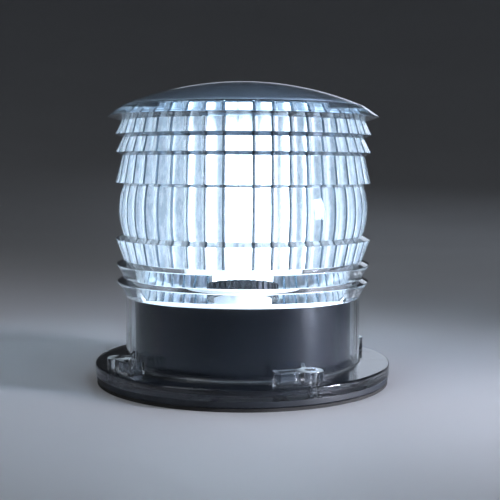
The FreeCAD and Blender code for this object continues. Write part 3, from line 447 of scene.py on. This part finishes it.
SURFACES = {
    "lens_body": clear_lens, "dome_cover": clear_dome, "inner_housing": black, "base_plate": base_black,
    "battery_hatch": base_black, "mounting_gasket": rubber, "base_seal": rubber, "hatch_seal": rubber,
    "button_seal": rubber, "reflector_plate": painted_glow_reflector, "pedestal": white, "conduit": white,
    "diffuser_cap": painted_glow_white, "led_column": anodised, "panel_tray": painted_glow_white, "solar_panel": backing,
    "solar_cells": silicon, "cell_ribbons": plated, "ring_board": board, "led_boards": board, "led_chips": led,
    "diffuser_sleeve": sleeve, "battery_holder": holder, "battery_cells": cell_wrap,
    "battery_springs": plated, "battery_contacts": plated, "control_board": green, "controller_chip": chip,
    "inductor": ferrite, "capacitors": can, "lead_connectors": nylon, "panel_leads": wire, "led_leads": wire,
    "battery_leads": wire, "switch_leads": wire, "light_switch": switch, "switch_button": red,
    "base_screws": plated, "hub_screws": plated, "board_screws": plated, "holder_screws": plated,
}
for name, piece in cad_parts.items():
    piece.data.materials.clear()
    piece.data.materials.append(SURFACES[name])


# Pieces made here

# In metres: the dome's points within FOOT_LAYER of its lowest height are its foot, and sink by WELD_DEPTH
FOOT_LAYER = 0.00001
WELD_DEPTH = 0.00005
MM = 0.001

# The round field of cells, in mm
CELL_STRIPS = 8
FIELD_RADIUS = 50.8
FIELD_MARGIN = 2.4
RIBBON_WIDTH = 1.4
LINK_THICKNESS = 0.12

# Where the small parts are on the control board, in mm, and how big they are
BOARD_SPOTS = [(-22, 4), (-18, 4), (-22, 8), (-6, -14), (-6, -18), (-6, -22), (4, -10), (8, -10), (20, -4),
               (24, -4), (-3, 12), (3, 12), (0, 20), (-24, -8), (-26, -14), (24, 8), (22, 14), (-22, 14),
               (9, -24), (-16, -26)]
PART_LENGTH, PART_WIDTH, PART_HEIGHT, HEIGHT_STEP = 1.3, 1.2, 0.6, 0.3
END_LENGTH, END_WIDTH, END_HEIGHT, END_OFFSET = 0.4, 1.25, 0.62, 0.8


def weld_dome():
    """The dome as it is once welded on: its foot reaches a hair into the lens, so that light crosses the
    joint."""
    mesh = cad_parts["dome_cover"].data.copy()
    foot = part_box("dome_cover")[0].z
    for vertex in mesh.vertices:
        if vertex.co.z < foot + FOOT_LAYER:
            vertex.co.z -= WELD_DEPTH
    piece = place_in_scene("welded_dome", mesh)
    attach(piece, "light")
    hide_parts("dome_cover")


def blocks(name, places, material, round_over=0.12):
    """One piece made of small blocks with rounded edges.
    Each place is (x, y, bottom, x size, y size, height), in mm."""
    shape = bmesh.new()
    for x, y, bottom, x_size, y_size, height in places:
        made = bmesh.ops.create_cube(shape, size=1.0)["verts"]
        bmesh.ops.scale(shape, vec=(x_size, y_size, height), verts=made)
        bmesh.ops.translate(shape, vec=(x, y, bottom + height / 2), verts=made)
    bmesh.ops.bevel(shape, geom=shape.edges[:], offset=round_over, segments=2, affect="EDGES", profile=0.5)
    bmesh.ops.scale(shape, vec=(MM, MM, MM), verts=shape.verts[:])
    mesh = bpy.data.meshes.new(name)
    shape.to_mesh(mesh)
    shape.free()
    mesh.materials.append(material)
    piece = place_in_scene(name, mesh)
    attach(piece, "light")


def make_cell_links():
    """Flat links that join each strip of cell to the next, at alternate ends."""
    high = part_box("cell_ribbons")[1]
    half = high.x / MM - RIBBON_WIDTH / 2
    pitch = 2 * half / (CELL_STRIPS - 1)
    links = []
    for i in range(CELL_STRIPS - 1):
        x = -half + pitch * (i + 0.5)
        outer = abs(x) + pitch / 2 + RIBBON_WIDTH
        reach = math.sqrt(FIELD_RADIUS ** 2 - outer ** 2) - FIELD_MARGIN - RIBBON_WIDTH / 2
        y = reach * (1 if i % 2 else -1)
        links.append((x, y, high.z / MM, pitch + RIBBON_WIDTH, RIBBON_WIDTH, LINK_THICKNESS))
    blocks("cell_links", links, plated, round_over=0.03)


def make_board_parts():
    """Resistors, small capacitors and a diode on the control board, each with plated ends."""
    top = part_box("control_board")[1].z / MM
    bodies, ends = [], []
    for i, (x, y) in enumerate(BOARD_SPOTS):
        extra = HEIGHT_STEP * (i % 3)
        bodies.append((x, y, top, PART_LENGTH, PART_WIDTH, PART_HEIGHT + extra))
        ends += [(x + side * END_OFFSET, y, top, END_LENGTH, END_WIDTH, END_HEIGHT + extra) for side in (-1, 1)]
    blocks("board_parts", bodies, part_epoxy)
    blocks("board_part_ends", ends, plated, round_over=0.06)


weld_dome()
make_cell_links()
make_board_parts()


# Studio, in metres

FLOOR_RADII = (0.3, 0.6, 0.9)
WALL_CURVE = 2.6
WALL_TOP = 4.5
STUDIO_STEPS = 96
AIM = (0, 0, 0.07)


def make_studio():
    """A plain pale floor that curves up far away into a wall, the same all round."""
    profile = [(radius, 0.0) for radius in FLOOR_RADII]
    for degrees in range(3, 91, 3):
        a = math.radians(degrees)
        profile.append((FLOOR_RADII[-1] + WALL_CURVE * math.sin(a), WALL_CURVE * (1 - math.cos(a))))
    profile.append((FLOOR_RADII[-1] + WALL_CURVE, WALL_TOP))
    shape = bmesh.new()
    turns = [2 * math.pi * i / STUDIO_STEPS for i in range(STUDIO_STEPS)]
    rings = [[shape.verts.new((r * math.cos(t), r * math.sin(t), z)) for t in turns] for r, z in profile]
    middle = shape.verts.new((0, 0, 0))
    for i in range(STUDIO_STEPS):
        j = (i + 1) % STUDIO_STEPS
        shape.faces.new((middle, rings[0][i], rings[0][j]))
        for lower, upper in zip(rings, rings[1:]):
            shape.faces.new((lower[i], upper[i], upper[j], lower[j]))
    for face in shape.faces:
        face.smooth = True
    mesh = bpy.data.meshes.new("studio_floor")
    shape.to_mesh(mesh)
    shape.free()
    mesh.materials.append(solid("pale_floor", (0.60, 0.61, 0.63), (0.63, 0.64, 0.66), (0.55, 0.65), scale=3.0))
    floor = place_in_scene("studio_floor", mesh)
    floor.location.z = cad_low.z


def softbox(name, location, target, size, power, colour=(1, 1, 1), spread=180):
    """A rectangular soft light that faces its target and that the camera doesn't see."""
    data = bpy.data.lights.new(name, "AREA")
    data.shape = "RECTANGLE"
    data.size, data.size_y = size
    data.energy = power
    data.color = colour
    data.spread = math.radians(spread)
    light = place_in_scene(name, data)
    light.location = location
    light.visible_camera = False
    light.rotation_euler = (Vector(target) - location).to_track_quat("-Z", "Y").to_euler()


def make_world():
    """A dim, even sky."""
    world = bpy.data.worlds.new("studio")
    bpy.context.scene.world = world
    world.use_nodes = True
    background = world.node_tree.nodes["Background"]
    background.inputs["Color"].default_value = (0.50, 0.56, 0.66, 1)
    background.inputs["Strength"].default_value = 0.05


bpy.context.scene.view_settings.view_transform = "Standard"
make_studio()
make_world()
softbox("key", from_camera(-60, 1.0, 1.3), AIM, (0.7, 0.7), 4.0)
softbox("right_strip", from_camera(68, 0.55, 0.125), (0, 0, 0.04), (0.09, 0.24), 0.75, (0.86, 0.87, 1.0),
        spread=60)
softbox("back", from_camera(163, 1.65, 0.40), AIM, (1.4, 0.25), 0.40, (0.76, 0.85, 1.0), spread=90)
